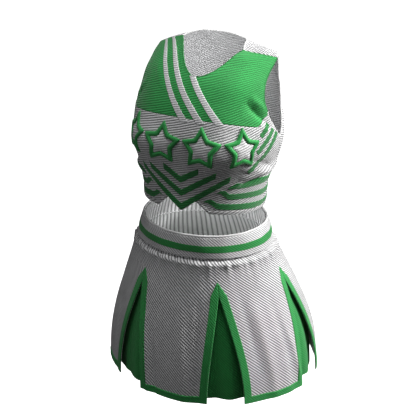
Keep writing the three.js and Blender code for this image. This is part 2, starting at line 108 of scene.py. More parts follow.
def shellSurface(angle, level):
    angle, level = np.broadcast_arrays(np.asarray(angle, float), np.asarray(level, float))
    _, halfWidth, frontY, sideY, backY, frontZ, sideZ, backZ = np.moveaxis(ringValues(level), -1, 0)
    forward = np.cos(np.radians(angle))
    sideways = np.sin(np.radians(angle))
    endY = np.where(forward >= 0, frontY, backY)
    endZ = np.where(forward >= 0, frontZ, backZ)
    swell = (bust["height"] * np.exp(-((np.abs(angle) - bust["angle"]) / bust["spread"]) ** 2)
             * np.exp(-((level - bust["level"]) / bust["rise"]) ** 2))
    beside = smooth(sideways, 0.1, 0.5) - 1.15 * smooth(sideways, 0.5, 1)
    sag = (droop["depth"] * smooth(level, droop["from"], ridge) * smooth(-sideways, 0, 0.6)
           + dip["depth"] * smooth(level, dip["from"], ridge) * beside)
    return np.stack([
        (halfWidth + swell) * sideways + lean["shift"] * smooth(level, lean["from"], lean["to"]),
        sideY + (endY - sideY) * np.abs(forward) - swell * forward - skirtShape["sweep"],
        sideZ + (endZ - sideZ) * forward ** 2 - sag,
    ], -1)


def skirtRing(z):
    t = np.clip((z - footZ) / skirtShape["band"], 0, None)
    flare = np.where(z < footZ, np.sin(np.pi / 2 * (footZ - z) / footZ), 0)
    axes = []
    for n in (0, 1):
        foot, waist, hem = (skirtShape[key][n] for key in ("foot", "waist", "hem"))
        axes.append(foot + (waist - foot) * t + (hem - foot) * flare)
    return axes[0], axes[1], skirtShape["sweep"] * flare


def skirtSurface(angle, z):
    angle, z = np.broadcast_arrays(np.asarray(angle, float), np.asarray(z, float))
    halfWidth, halfDepth, back = skirtRing(z)
    turn = np.radians(angle)
    return np.stack([halfWidth * np.sin(turn), back - halfDepth * np.cos(turn) - skirtShape["sweep"], z], -1)


def unit(v):
    return v / np.maximum(np.linalg.norm(v, axis=-1, keepdims=True), 1e-9)


def normalOf(surface, angle, level, probe=0.3):
    alongAngle = surface(angle + probe, level) - surface(angle - probe, level)
    alongLevel = surface(angle, level + probe) - surface(angle, level - probe)
    return unit(np.cross(alongAngle, alongLevel))


# Folds and creases: each runs from one point to another, and is a ridge (or, below zero, a
# valley) of that height that fades out at both ends.
def foldHeight(folds, x, y):
    total = np.zeros(np.broadcast(x, y).shape)
    for x0, y0, x1, y1, width, height in folds:
        dx, dy = x1 - x0, y1 - y0
        length = np.hypot(dx, dy)
        along = ((x - x0) * dx + (y - y0) * dy) / length ** 2
        across = ((x - x0) * dy - (y - y0) * dx) / length
        fade = np.sin(np.pi * np.clip(along, 0, 1)) ** 0.8
        total = total + height * fade * np.exp(-(across / width) ** 2)
    return total


# x here is degrees from centre front times perDegree, so that folds are true lengths
shellFolds = [
    (244, 488, 118, 476, 9, 7.5),       # tuck that gathers the cloth under the bust
    (244, 470, 124, 464, 4.5, -5.0),
    (218, 476, 112, 500, 6, 3.0),
    (214, 482, 120, 524, 6, -2.2),
    (150, 476, 96, 452, 4, 2.0),
    (184, 576, 118, 634, 7, -5.0),      # drag lines from the armhole
    (190, 600, 128, 646, 7, 3.4),
    (168, 628, 120, 606, 6, -1.6),
    (180, 560, 150, 600, 6, 1.8),
]
rightFolds = [
    (222, 466, 128, 458, 7, 5.0),
    (222, 458, 150, 450, 5, -3.2),
    (216, 478, 120, 512, 7, 2.4),
    (176, 600, 120, 650, 6, 2.8),
    (170, 622, 136, 616, 5, -2.4),
    (110, 690, 60, 640, 8, 1.8),
]
backFolds = [
    (228, 470, 420, 452, 8, 3.0),
    (228, 462, 360, 440, 6, -2.2),
    (240, 560, 330, 600, 10, 2.4),
    (300, 520, 441, 498, 12, 2.0),
    (250, 640, 330, 690, 9, 2.2),
]
hemBand = {"height": 8, "proud": 0.7, "groove": 0.9}


def hemLevel(angle):
    return np.interp(np.abs(angle), [0, 13.5, 26, 90], [401, 425, 400, 390])


def shellRelief(angle, level):
    turn = (angle + 180) % 360 - 180
    x = np.abs(turn) * perDegree
    left = smooth(turn, -12, 12)
    relief = left * foldHeight(shellFolds, x, level) + (1 - left) * foldHeight(rightFolds, x, level)
    relief = relief + foldHeight(backFolds, x, level)
    relief = relief - 1.1 * np.exp(-((x - 90 * perDegree) / 1.8) ** 2) * (level < 700)
    soft = np.sin(x / 23 + level / 31 + 1.3 * left) * np.sin(level / 19 - x / 41)
    relief = relief + 0.9 * soft * smooth(level, 400, 430) * (1 - smooth(level, 700, 735))
    above = level - hemLevel(turn)
    sides = smooth(x, 36, 52)        # the hem's turning ends where the pointed tip begins
    band = hemBand["proud"] * (1 - smooth(above, hemBand["height"] - 1, hemBand["height"]))
    groove = hemBand["groove"] * np.exp(-((above - hemBand["height"] - 0.6) / 0.9) ** 2)
    return relief + sides * (band - groove)


def shellSkin(angle, level):
    point = shellSurface(angle, level)
    return point + normalOf(shellSurface, angle, level, 0.05) * shellRelief(angle, level)[..., None]


def putShell(angle, level, offset):
    return shellSkin(angle, level) + normalOf(shellSkin, angle, level) * np.asarray(offset)[..., None]


# The back goes up over the ridge of the shoulders and down to the shoulder seam, and the
# ridge itself is rounded off by averaging points on both sides of it.
def backSkin(side, climb):
    reach = 9 * np.exp(-((climb - ridge) / 14) ** 2)
    total = 0
    for step, weight in ((-1, 0.2), (-0.5, 0.2), (0, 0.2), (0.5, 0.2), (1, 0.2)):
        at = climb + step * reach
        over = at > ridge
        angle = np.where(over, side, 180 - side)
        total = total + weight * shellSkin(angle, np.where(over, 2 * ridge - at, at))
    return total


def putBack(side, climb, offset):
    return backSkin(side, climb) - normalOf(backSkin, side, climb) * np.asarray(offset)[..., None]


gather = {"puff": 6.6, "bump": 3.0, "reach": 16, "tuck": 5.5}
# angle, z, angle, z on the skirt, with angles times skirtDegree
skirtDegree = 3.2
skirtFolds = [
    (-21, 175, -14, -30, 5, 4.2),
    (-15, 150, -9, -30, 4, -2.4),
    (3, 240, 8, -40, 10, 3.2),
    (16, 230, 15, -20, 7, -2.4),
    (44, 250, 50, 60, 8, -2.6),
    (52, 235, 60, -30, 10, 3.6),
    (66, 240, 74, -30, 8, -2.6),
    (72, 160, 80, -30, 5, 2.6),
    (-62, 240, -64, -40, 9, 2.8),
    (-50, 200, -46, -30, 6, -2.0),
    (-76, 180, -82, -30, 6, 2.4),
    (112, 240, 118, -30, 9, 3.0),
    (131, 210, 134, -30, 7, -2.2),
    (170, 240, 168, -30, 9, 2.8),
    (186, 230, 192, -30, 8, -2.4),
    (232, 240, 236, -30, 9, 2.8),
    (248, 220, 250, -30, 7, -2.0),
]


def pleatMiddle(angle):
    return np.round(angle / 60) * 60


def skirtRelief(angle, z):
    turn = (np.asarray(angle, float) + 90) % 360 - 90
    down = footZ - z
    radians = np.radians(turn)
    puff = gather["puff"] * smooth(down, 3, 11) * np.exp(-np.clip(down - 8, 0, None) / gather["reach"])
    bumps = (0.5 * np.sin(29 * radians + 1.1) + 0.42 * np.sin(47 * radians + 0.4)
             + 0.32 * np.sin(71 * radians + 2.3) + 0.2 * np.sin(113 * radians))
    gathers = gather["bump"] * bumps * smooth(down, 0, 6) * np.exp(-np.clip(down - 6, 0, None) / 17)
    folds = foldHeight([(a * skirtDegree, b, c * skirtDegree, d, w, h) for a, b, c, d, w, h in skirtFolds],
                       turn * skirtDegree, z)
    fall = np.clip(1 - z / pleatTop, 0, 1)
    within = np.abs(turn - pleatMiddle(turn)) / 24
    lift = 3.2 * fall ** 1.3 * np.clip(within, 0, 1) ** 4
    sway = 1.6 * fall * np.sin(5 * radians * 2.2 + 0.8)
    below = np.where(z < footZ, 1, 0)
    tuck = gather["tuck"] * np.exp(-((down - 1.2) / 3.4) ** 2)
    return (puff + gathers + folds + lift + sway - tuck) * below


def putSkirt(angle, z, offset, relief=skirtRelief):
    point = skirtSurface(angle, z)
    tangent = skirtSurface(angle + 0.05, z) - skirtSurface(angle - 0.05, z)
    normal = unit(np.stack([tangent[..., 1], -tangent[..., 0], np.zeros(point.shape[:-1])], -1))
    return point + normal * (np.asarray(offset) + relief(angle, z))[..., None]


def spaced(length, step, lowRim, highRim):
    low = [0, 0.3 * lowRim, 0.7 * lowRim, lowRim] if lowRim else [0]
    high = [0, 0.3 * highRim, 0.7 * highRim, highRim] if highRim else [0]
    count = max(2, int(round((length - lowRim - highRim) / step)) + 1)
    middle = np.linspace(lowRim, length - highRim, count)
    return np.unique(np.round(np.concatenate([low, middle, length - np.array(high)]), 6)) / length


def newMesh(name, points, faces, uvs, materials, faceMaterial, wear=None):
    mesh = bpy.data.meshes.new(name)
    mesh.from_pydata((points * mm).tolist(), [], faces)
    layer = mesh.uv_layers.new(name="weave")
    layer.data.foreach_set("uv", (uvs * mm).astype(np.float32).ravel())
    mesh.polygons.foreach_set("material_index", np.asarray(faceMaterial, np.int32))
    mesh.polygons.foreach_set("use_smooth", np.ones(len(faces), bool))
    for material in materials:
        mesh.materials.append(material)
    attribute = mesh.attributes.new("wear", "FLOAT", "POINT")
    attribute.data.foreach_set("value", (np.zeros(len(points)) if wear is None else wear).astype(np.float32))
    a, b, c = (points[np.array([f[k] for f in faces])] for k in (0, 1, 2))
    if np.sum(a * np.cross(b, c)) < 0:
        mesh.flip_normals()
    mesh.set_sharp_from_angle(angle=np.radians(58))
    mesh.update()
    piece = bpy.data.objects.new(name, mesh)
    bpy.context.scene.collection.objects.link(piece)
    return piece


def arcLengths(points, axis):
    steps = np.linalg.norm(np.diff(points, axis=axis), axis=-1)
    pad = [(0, 0), (0, 0)]
    pad[axis] = (1, 0)
    return np.cumsum(np.pad(steps, pad), axis=axis)


# A piece of cloth. outline(s, t) gives angle and level, put() gives the point at a distance
# off the cloth's own surface, and rims says which edges are rolled: l, r, b, t.
def clothPiece(name, outline, put, width, height, inner, outer, materials, weave,
               closed=False, step=4.0, rim=1.3, rims="lrbt", swell=None):
    s = spaced(width, step, rim if "l" in rims and not closed else 0, rim if "r" in rims and not closed else 0)
    t = spaced(height, step, rim if "b" in rims else 0, rim if "t" in rims else 0)
    acrossS, upT = np.meshgrid(s, t, indexing="ij")
    angle, level = outline(acrossS, upT)
    flatPoints = put(angle, level, np.zeros(angle.shape))
    fromLeft = arcLengths(flatPoints, 0)
    fromFoot = arcLengths(flatPoints, 1)
    away = {"l": fromLeft, "r": fromLeft[-1:] - fromLeft, "b": fromFoot, "t": fromFoot[:, -1:] - fromFoot}
    near = np.full(angle.shape, 1e3)
    for side in rims:
        if not (closed and side in "lr"):
            near = np.minimum(near, away[side])
    roll = np.clip(near / rim, 0, 1)
    body = 0.2 + 0.8 * np.sqrt(1 - (1 - roll) ** 2)
    thickness = outer - inner
    proud = inner + thickness * body
    if swell is not None:
        proud = proud + swell(acrossS, upT, near)
    layers = [put(angle, level, proud), put(angle, level, np.full(angle.shape, float(inner)))]
    columns, rows = angle.shape
    kept = columns - 1 if closed else columns
    points = np.concatenate([layer[:kept].reshape(-1, 3) for layer in layers])
    uvGrid = np.stack(weave(angle, level), -1)
    wear = np.concatenate([np.exp(-near[:kept] / 1.6).ravel()] * 2)
    half = kept * rows
    index = (np.arange(columns) % kept)[:, None] * rows + np.arange(rows)[None, :]
    faces, corners, faceMaterial = [], [], []

    def quads(ids, uv, slotIndex):
        a = [ids[:-1, :-1], ids[1:, :-1], ids[1:, 1:], ids[:-1, 1:]]
        u = [uv[:-1, :-1], uv[1:, :-1], uv[1:, 1:], uv[:-1, 1:]]
        made = np.stack(a, -1).reshape(-1, 4)
        faces.extend(made.tolist())
        corners.append(np.stack(u, -2).reshape(-1, 2))
        faceMaterial.extend([slotIndex] * len(made))

    quads(index, uvGrid, 0)
    quads((index + half)[:, ::-1], uvGrid[:, ::-1], len(materials) - 1)
    quads(np.stack([index[:, 0] + half, index[:, 0]], 1), np.stack([uvGrid[:, 0]] * 2, 1), 0)
    quads(np.stack([index[:, -1], index[:, -1] + half], 1), np.stack([uvGrid[:, -1]] * 2, 1), 0)
    if not closed:
        quads(np.stack([index[0], index[0] + half], 1), np.stack([uvGrid[0]] * 2, 1), 0)
        quads(np.stack([index[-1] + half, index[-1]], 1), np.stack([uvGrid[-1]] * 2, 1), 0)
    piece = newMesh(name, points, faces, np.concatenate(corners), materials, faceMaterial, wear)
    piece["flatWide"] = float(fromLeft[-1].max() * mm)
    piece["flatTall"] = float(fromFoot[:, -1].max() * mm)
    du, dv = np.diff(flatPoints, axis=0)[:, :-1], np.diff(flatPoints, axis=1)[:-1]
    piece["flatArea"] = float(np.linalg.norm(np.cross(du, dv), axis=-1).sum() * mm * mm)
    return piece


# A cord or a rolled edge along a line of points, flattened towards the cloth.
def rolledEdge(name, points, normals, halfWidth, halfHeight, materials, closed=True, sides=10, faceSlot=None):
    count = len(points)
    ahead = np.roll(points, -1, 0) - np.roll(points, 1, 0)
    if not closed:
        ahead[0], ahead[-1] = points[1] - points[0], points[-1] - points[-2]
    along = unit(ahead)
    out = unit(np.cross(along, normals))
    up = unit(np.cross(out, along))
    turn = np.linspace(0, 2 * np.pi, sides, endpoint=False)
    ringPoints = (points[:, None] + out[:, None] * (halfWidth * np.cos(turn))[None, :, None]
                  + up[:, None] * (halfHeight * np.sin(turn))[None, :, None])
    lengths = np.concatenate([[0], np.cumsum(np.linalg.norm(np.diff(points, axis=0), axis=1))])
    faces, corners, slots = [], [], []
    for k in range(count if closed else count - 1):
        for c in range(sides):
            d, n = (c + 1) % sides, (k + 1) % count
            faces.append([k * sides + c, n * sides + c, n * sides + d, k * sides + d])
            u0, u1 = lengths[k], lengths[k] + np.linalg.norm(points[n] - points[k])
            v0, v1 = c * halfWidth * 0.7, (c + 1) * halfWidth * 0.7
            corners += [[u0, v0], [u1, v0], [u1, v1], [u0, v1]]
            slots.append(faceSlot(k) if faceSlot else 0)
    if not closed:
        for k, order in ((0, 1), (count - 1, -1)):
            faces.append([k * sides + c for c in range(sides)][::order])
            corners += [[0, 0]] * sides
            slots.append(0)
    return newMesh(name, ringPoints.reshape(-1, 3), faces, np.array(corners), materials, slots)


# One row of stitches: short rounded lengths of thread lying along a line on the cloth.
def stitchRow(name, lines, materials, length=2.9, space=1.5, radius=0.42):
    points, faces, corners = [], [], []
    sides = 6
    shape = [(-0.5, 0.25), (-0.36, 0.85), (0, 1), (0.36, 0.85), (0.5, 0.25)]
    turn = np.linspace(0, 2 * np.pi, sides, endpoint=False)
    for line, normals in lines:
        far = np.concatenate([[0], np.cumsum(np.linalg.norm(np.diff(line, axis=0), axis=1))])
        for start in np.arange(0.8, far[-1] - length, length + space):
            middle = start + length / 2
            spot = np.array([np.interp(middle, far, line[:, k]) for k in range(3)])
            ends = [np.array([np.interp(at, far, line[:, k]) for k in range(3)]) for at in (start, start + length)]
            up = unit(np.array([np.interp(middle, far, normals[:, k]) for k in range(3)]))
            along = unit(ends[1] - ends[0])
            out = unit(np.cross(along, up))
            base = len(points)
            for reach, fat in shape:
                for a in turn:
                    points.append(spot + along * reach * length
                                  + (out * np.cos(a) + up * np.sin(a)) * radius * fat)
            for k in range(len(shape) - 1):
                for c in range(sides):
                    d = (c + 1) % sides
                    faces.append([base + k * sides + c, base + (k + 1) * sides + c,
                                  base + (k + 1) * sides + d, base + k * sides + d])
                    corners += [[0, 0], [1, 0], [1, 1], [0, 1]]
            for k, order in ((0, 1), (len(shape) - 1, -1)):
                faces.append([base + k * sides + c for c in range(sides)][::order])
                corners += [[0, 0]] * sides
    return newMesh(name, np.array(points), faces, np.array(corners, float), materials, [0] * len(faces))


def edgeLine(put, angle, level, offset):
    angle, level = np.broadcast_arrays(np.asarray(angle, float), np.asarray(level, float))
    low = put(angle, level, np.full(angle.shape, float(offset)))
    high = put(angle, level, np.full(angle.shape, float(offset) + 1))
    return low, unit(high - low)


def tint(colour, share):
    return tuple(c * share for c in colour)


# Corded cloth: rounded ribs with painted shade in the grooves between them (groove is the share of the colour left
# in a groove), the yarn's own twist across each rib with painted shade in its troughs, a little unevenness, and
# paler fibres where an edge is rubbed. pitch and depth in mm.
def cordedCloth(name, colour, pitch, lean, depth=0.55, groove=0.42, twist=1.3, roughness=0.72, sheen=0.25,
                uneven=0.09, across=False, rubbed=0.16):
    material = bpy.data.materials.new(name)
    material.use_nodes = True
    nodes, links = material.node_tree.nodes, material.node_tree.links
    nodes.clear()
    output = nodes.new("ShaderNodeOutputMaterial")
    shader = nodes.new("ShaderNodeBsdfPrincipled")
    links.new(shader.outputs[0], output.inputs[0])

    def math(operation, a, b=None, clamp=False):
        node = nodes.new("ShaderNodeMath")
        node.operation = operation
        node.use_clamp = clamp
        for socket, value in zip(node.inputs, (a, b)):
            if value is None:
                continue
            if isinstance(value, (int, float)):
                socket.default_value = value
            else:
                links.new(value, socket)
        return node.outputs[0]

    def noise(vector, scale, detail=2.0):
        node = nodes.new("ShaderNodeTexNoise")
        node.inputs["Scale"].default_value = scale
        node.inputs["Detail"].default_value = detail
        links.new(vector, node.inputs["Vector"])
        return node

    def wave(vector, period, turn, direction="Y"):
        mapping = nodes.new("ShaderNodeMapping")
        mapping.inputs["Rotation"].default_value = (0, 0, np.radians(turn))
        links.new(vector, mapping.inputs["Vector"])
        node = nodes.new("ShaderNodeTexWave")
        node.bands_direction = direction
        node.inputs["Scale"].default_value = 0.314 / (period * mm)
        node.inputs["Distortion"].default_value = 0
        node.inputs["Detail"].default_value = 0
        links.new(mapping.outputs[0], node.inputs["Vector"])
        return node.outputs["Fac"]

    uv = nodes.new("ShaderNodeUVMap")
    uv.uv_map = "weave"
    wander = noise(uv.outputs[0], 38)
    shift = nodes.new("ShaderNodeVectorMath")
    shift.operation = "MULTIPLY_ADD"
    links.new(wander.outputs["Color"], shift.inputs[0])
    shift.inputs[1].default_value = (0.0016, 0.0016, 0)
    links.new(uv.outputs[0], shift.inputs[2])
    cloth = shift.outputs[0]
    ribs = math("POWER", wave(cloth, pitch, -lean, "X" if across else "Y"), 0.62)
    yarn = wave(cloth, twist, 58 - lean)
    fuzz = noise(uv.outputs[0], 1500, 3).outputs["Fac"]
    patches = noise(uv.outputs[0], 22, 3).outputs["Fac"]
    height = math("ADD", math("MULTIPLY", ribs, 1.0), math("MULTIPLY", yarn, 0.16))
    height = math("ADD", height, math("MULTIPLY", fuzz, 0.10))

    bump = nodes.new("ShaderNodeBump")
    bump.inputs["Strength"].default_value = 1.0
    bump.inputs["Distance"].default_value = depth * mm
    links.new(height, bump.inputs["Height"])
    links.new(bump.outputs[0], shader.inputs["Normal"])

    def mix(factor, a, b, kind="MIX"):
        node = nodes.new("ShaderNodeMix")
        node.data_type = "RGBA"
        node.blend_type = kind
        for socket, value in ((node.inputs[0], factor), (node.inputs[6], a), (node.inputs[7], b)):
            if isinstance(value, (int, float)):
                socket.default_value = value
            elif isinstance(value, tuple):
                socket.default_value = (*value, 1)
            else:
                links.new(value, socket)
        return node.outputs[2]

    def ramp(source, low, high, a, b):
        node = nodes.new("ShaderNodeMapRange")
        for key, value in (("From Min", low), ("From Max", high), ("To Min", a), ("To Max", b)):
            node.inputs[key].default_value = value
        links.new(source, node.inputs["Value"])
        return node.outputs[0]

    # Painted shade: the colour darkens towards tint(colour, groove) down in the grooves between the ribs.
    grooveShadedColour = mix(ramp(ribs, 0.15, 0.75, 0, 1), tint(colour, groove), colour)
    # Painted shade: the colour is a little darker in the troughs of the yarn twist and lighter on its crests.
    thread = ramp(yarn, 0, 1, 0.93, 1.03)
    cloudy = ramp(patches, 0.3, 0.7, 1 - uneven, 1 + uneven / 2)
    # The painted twist shade times the random patches of tone.
    twistShadeAndTone = math("MULTIPLY", thread, cloudy)
    scaled = nodes.new("ShaderNodeVectorMath")
    scaled.operation = "SCALE"
    links.new(grooveShadedColour, scaled.inputs[0])
    links.new(twistShadeAndTone, scaled.inputs["Scale"])
    wear = nodes.new("ShaderNodeAttribute")
    wear.attribute_name = "wear"
    rubbedShare = math("MULTIPLY", math("MULTIPLY", wear.outputs["Fac"], ramp(fuzz, 0.35, 0.65, 0.3, 1)), rubbed)
    pale = tuple(min(1, c * 1.25 + 0.10) for c in colour)
    links.new(mix(rubbedShare, scaled.outputs[0], pale), shader.inputs["Base Color"])
    links.new(ramp(patches, 0.3, 0.7, roughness - 0.07, roughness + 0.07), shader.inputs["Roughness"])
    shader.inputs["Sheen Weight"].default_value = sheen
    shader.inputs["Sheen Roughness"].default_value = 0.45
    shader.inputs["Specular IOR Level"].default_value = 0.35
    return material


white = (0.80, 0.80, 0.81)
green = (0.035, 0.42, 0.09)

# groove is the share of each colour left in the rib grooves, which is painted shade.
finishes = {
    "shellWhite": dict(colour=white, pitch=4.6, lean=18, groove=0.26, depth=1.0, sheen=0.08),
    "braidWhite": dict(colour=(0.86, 0.86, 0.87), pitch=4.2, lean=14, groove=0.42, depth=0.5, sheen=0.1),
    "starWhite": dict(colour=(0.86, 0.86, 0.87), pitch=4.6, lean=18, groove=0.45, depth=0.6, sheen=0.1),
    "shellGreen": dict(colour=green, pitch=4.6, lean=18, groove=0.45, depth=0.75, sheen=0.3),
    "stripeGreen": dict(colour=(0.020, 0.28, 0.058), pitch=4.4, lean=18, groove=0.42, depth=0.9, sheen=0.3),
    "liningWhite": dict(colour=(0.78, 0.78, 0.79), pitch=4.2, lean=24, groove=0.4, depth=0.9, sheen=0.05),
    "skirtWhite": dict(colour=white, pitch=4.9, lean=-44, groove=0.20, depth=1.15, sheen=0.08),
    "bandWhite": dict(colour=(0.74, 0.74, 0.75), pitch=4.4, lean=-40, groove=0.4, depth=0.6, sheen=0.08),
    "trimGreen": dict(colour=green, pitch=4.0, lean=-48, groove=0.5, depth=0.6, sheen=0.3),
    "insertGreen": dict(colour=(0.030, 0.38, 0.082), pitch=4.2, lean=-44, groove=0.45, depth=0.7),
    "bandGreen": dict(colour=(0.022, 0.30, 0.06), pitch=4.2, lean=-40, groove=0.6, depth=0.4),
    "facingWhite": dict(colour=(0.76, 0.76, 0.77), pitch=9.5, lean=0, groove=0.42, depth=0.9, sheen=0.05,
                        across=True),
    "elasticWhite": dict(colour=(0.78, 0.78, 0.75), pitch=2.6, lean=0, groove=0.6, depth=0.5),
    "raisedGreen": dict(colour=(0.03, 0.38, 0.08), pitch=1.5, lean=62, groove=0.7, depth=0.25, twist=0.8,
                        roughness=0.45, sheen=0.2, rubbed=0.05),
    "pipingWhite": dict(colour=(0.88, 0.88, 0.88), pitch=1.6, lean=55, groove=0.75, depth=0.25, twist=0.8),
    "edgeGreen": dict(colour=(0.016, 0.22, 0.045), pitch=1.6, lean=55, groove=0.7, depth=0.25, twist=0.8),
    "threadWhite": dict(colour=(0.86, 0.86, 0.85), pitch=0.7, lean=40, groove=0.7, depth=0.1, twist=0.5),
    "threadGreen": dict(colour=(0.03, 0.36, 0.08), pitch=0.7, lean=40, groove=0.6, depth=0.1, twist=0.5),
}
made = {name: cordedCloth(name, **facts) for name, facts in finishes.items()}
print("materials ready:", len(made))


def fasten(piece, body, slotName, nodes, kind=None, held="hung"):
    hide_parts(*nodes)
    if isinstance(body, str):
        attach(piece, body)
    return piece


def shellWeave(angle, level):
    return angle * perDegree, level


yokeEdge = {"centre": 596, "fall": 0.004, "cornerFrom": 59, "cornerTo": 75, "cornerRise": 27}
armhole = {"bottom": 546, "middle": 655, "frontHalf": 21.5, "backHalf": 17, "shoulderHalf": 9}
neck = {"front": 671, "halfAngle": 32.5, "back": 728, "rightCurve": 1.5, "leftCurve": 2.1}
slant = 0.355                    # degrees that a braid moves for each mm it drops
seamGap = 0.2


def seamLevel(side):
    return np.where(np.asarray(side) < 0, shoulderSeam["right"], shoulderSeam["left"])


def backTop(side):
    return 2 * ridge - seamLevel(side)


def yokeLevel(angle):
    corner = yokeEdge["cornerRise"] * smooth(np.abs(angle), yokeEdge["cornerFrom"], yokeEdge["cornerTo"])
    return yokeEdge["centre"] - yokeEdge["fall"] * angle ** 2 + corner


# How far the armhole's edge is from the side, in degrees: a parabola below the middle.
def armholeHalf(level, widest, top):
    middle, bottom = armhole["middle"], armhole["bottom"]
    t = np.clip((level - middle) / (middle - bottom), -1, 0)
    above = np.clip((level - middle) / (top - middle), 0, None)
    high = widest + (armhole["shoulderHalf"] - widest) * above ** 2
    return np.where(level < middle, widest * (1 - t * t), high)


def frontSide(level, side):
    return 90 - armholeHalf(level, armhole["frontHalf"], seamLevel(side))


def backSide(climb, side):
    return 90 - armholeHalf(climb, armhole["backHalf"], backTop(side))


def armholeFloor(angle):
    h = np.clip((90 - np.abs(angle)) / armhole["frontHalf"], 0, 1)
    floor = armhole["middle"] - (armhole["middle"] - armhole["bottom"]) * np.sqrt(1 - h)
    return np.where(h >= 1, 9e3, floor)


def neckAngle(level, side):
    curve = neck["rightCurve"] if side < 0 else neck["leftCurve"]
    t = np.clip((level - neck["front"]) / (seamLevel(side) - neck["front"]), 0, 1)
    return neck["halfAngle"] * t ** (1 / curve)


scoop = neck["halfAngle"] / (90 - armhole["shoulderHalf"])


def backEdge(across):
    share = np.minimum(1, np.abs(across) / scoop) ** np.where(across < 0, 2, 8)
    return neck["back"] + (backTop(across) - neck["back"]) * share


def shellFront():
    def outline(s, t):
        angle = -90 + 180 * s
        foot = hemLevel(angle)
        top = np.minimum(yokeLevel(angle), armholeFloor(angle)) - seamGap
        return angle, foot + (top - foot) * t
    piece = clothPiece("shellFrontCloth", outline, putShell, 441, 196, 0, clothThick,
                       [made["shellWhite"], made["liningWhite"]], shellWeave, step=3.0, rims="bt")
    return fasten(piece, "shell", "white_knit", ["shell_front"], "sheet")


def backWeave(side, climb):
    return side * perDegree, climb


def shellBack():
    def outline(s, t):
        across = 2 * s - 1
        top = backTop(across)
        climbing = armhole["middle"] - (armhole["middle"] - armhole["bottom"]) * np.cos((3 * t - 1) * np.pi / 2)
        low = 390 + (armhole["bottom"] - 390) * 3 * t
        last = armhole["middle"] + (top - armhole["middle"]) * (3 * t - 2)
        row = np.where(t < 1 / 3, low, np.where(t < 2 / 3, climbing, last))
        share = (row - 390) / (top - 390)
        climb = 390 + (backEdge(across) - 390) * share
        return across * backSide(climb, across), climb
    piece = clothPiece("shellBackCloth", outline, putBack, 441, 390, 0, clothThick,
                       [made["shellWhite"], made["liningWhite"]], backWeave, step=3.2, rims="bt")
    return fasten(piece, "shell", "white_knit", ["shell_back"], "sheet")


def braidAngle(index, level):
    return braids["at"][index] - slant * (level - yokeEdge["centre"])


braids = {"at": [-1, 12, 26.5], "top": 8.5, "foot": 12.5}


def frontYoke(side):
    top = float(seamLevel(side))
    centre, front = yokeEdge["centre"], neck["front"]

    def row(t):
        high = front + (top - front) * np.clip(2 * t - 1, 0, 1) ** 2
        return np.where(t < 0.5, centre + (front - centre) * 2 * t, high)

    def outline(s, t):
        level = row(t)
        share = (level - centre) / (top - centre)
        for _ in range(9):
            seam = side * braidAngle(2, level)
            inner = np.where(level < front, seam, np.maximum(seam, neckAngle(level, side))) + 0.08
            angle = side * (inner + (frontSide(level, side) - inner) * s)
            foot = yokeLevel(angle)
            level = 0.5 * level + 0.5 * (foot + (top - foot) * share)
        return angle, level
    name, node = ("yokeLeftCloth", "front_yoke_left") if side > 0 else ("yokeRightCloth", "front_yoke_right")
    piece = clothPiece(name, outline, putShell, 160, 150, 0, clothThick,
                       [made["shellGreen"], made["liningWhite"]], shellWeave, step=3.0, rims="brt")
    return fasten(piece, "shell", "green_knit", [node], "sheet")


def braid(index):
    foot = yokeEdge["centre"] - 6
    top = neck["front"] + 1 if index == 2 else shoulderSeam["right"]
    stretch = np.hypot(1, slant * perDegree)

    def outline(s, t):
        level = foot + (top - foot) * t
        share = (level - foot) / (shoulderSeam["right"] - foot)
        width = braids["foot"] + (braids["top"] - braids["foot"]) * share
        half = width / 2 / perDegree * stretch
        return braidAngle(index, level) + half * (2 * s - 1), level + 0 * s
    piece = clothPiece(f"braidStripe_{index + 1}", outline, putShell, 16, 190, clothThick - 0.6,
                       clothThick + 0.8, [made["braidWhite"]], shellWeave, step=3.2, rim=0.9, rims="lr")
    return fasten(piece, "shell", "white_braid", [f"braid_{index + 1}"], "sheet", "laid")


chevrons = {"width": 14.5, "slope": 0.66, "rows": [(462, 36), (433, 70), (404, 100)]}


def chevronBand(index):
    apex, reach = chevrons["rows"][index]

    def outline(s, t):
        x = reach * (2 * s - 1)
        sharp = np.sqrt(x * x + 0.6) - 0.77
        return x / perDegree, apex + chevrons["slope"] * sharp + chevrons["width"] * t
    piece = clothPiece(f"chevronBand_{index + 1}", outline, putShell, 2 * reach, chevrons["width"],
                       clothThick - 0.6, clothThick + 0.9, [made["stripeGreen"]], shellWeave, step=2.4, rim=0.9)
    return fasten(piece, "shell", "green_trim", [f"chevron_{index + 1}"], "sheet", "laid")


waistBands = {"width": 12.5, "courses": [((44, 461), (52, 459), 456), ((35, 451), (43, 437), 429),
                                       ((24, 431), (33, 417), 404)]}


def waistBand(index):
    start, bend, side = waistBands["courses"][index]

    def outline(s, t):
        across = 2 * s - 1
        up = (t - 0.5) * waistBands["width"]
        end = start[0] + up / chevrons["slope"] / perDegree
        turned = 180 - np.abs(across) * (180 - end)
        run = np.clip((turned - start[0]) / (bend[0] - start[0]), 0, 1)
        ease = np.clip((turned - bend[0]) / (90 - bend[0]), 0, 1)
        level = np.where(turned < bend[0], start[1] + (bend[1] - start[1]) * run,
                         bend[1] + (side - bend[1]) * ease)
        return np.where(across < 0, -turned, turned), level + up

    piece = clothPiece(f"waistStripe_{index + 1}", outline, putShell, 700, waistBands["width"],
                       clothThick - 0.6, clothThick + 0.7, [made["stripeGreen"]], shellWeave, step=2.6, rim=0.9)
    return fasten(piece, "shell", "green_trim", [f"waist_stripe_{index + 1}"], "sheet", "laid")


armStripes = {"width": 11, "courses": [[(73.4, 584), (68.4, 574), (63.4, 561)],
                                       [(78.4, 571), (71, 552), (59.2, 529)],
                                       [(83.6, 561), (74, 531), (54.6, 490)]]}


